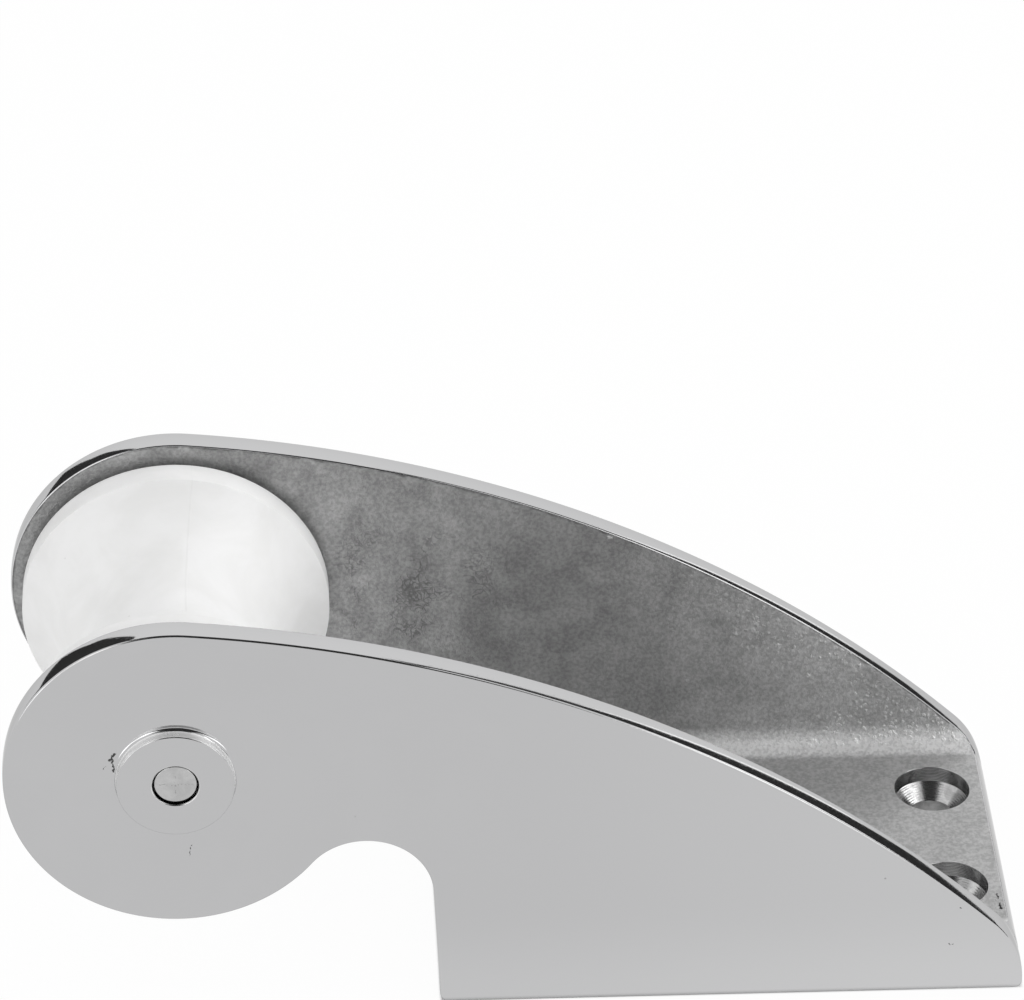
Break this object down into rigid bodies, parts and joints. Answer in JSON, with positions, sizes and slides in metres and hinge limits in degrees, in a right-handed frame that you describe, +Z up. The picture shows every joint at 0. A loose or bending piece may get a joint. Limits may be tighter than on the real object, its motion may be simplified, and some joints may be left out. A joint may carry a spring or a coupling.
{
  "type": "bow roller",
  "caption": "Cast stainless bow roller: cheeks on a flat base carry an hourglass nylon roller on a socket-head axle screw, to lead an anchor chain or rope over the bow.",
  "frame": {"origin": "middle of the base's flat underside, halfway between its front and rear edges", "axes": "+X aft, from the roller towards the heel; +Y to starboard, the side of the axle screw's head; +Z up, away from the deck"},
  "size_m": [0.204, 0.0794, 0.09],
  "materials": {
    "cast_steel": "mirror polished outside, satin as cast between the cheeks",
    "white_nylon": "smooth moulded, semi matte",
    "screw_steel": "machined and polished",
    "washer_plastic": "plain sheet plastic"
  },
  "bodies": {
    "bracket": {"cast_bracket": "cast_steel", "axle_screw": "screw_steel", "port_thrust_washer": "washer_plastic", "starboard_thrust_washer": "washer_plastic"},
    "roller": {"roller": "white_nylon"}
  },
  "joints": [
    {"name": "roller_spin", "type": "hinge", "parent": "bracket", "child": "roller", "pos_m": [-0.111, 0, 0.0551], "axis": [0, 1, 0], "continuous": true}
  ]
}
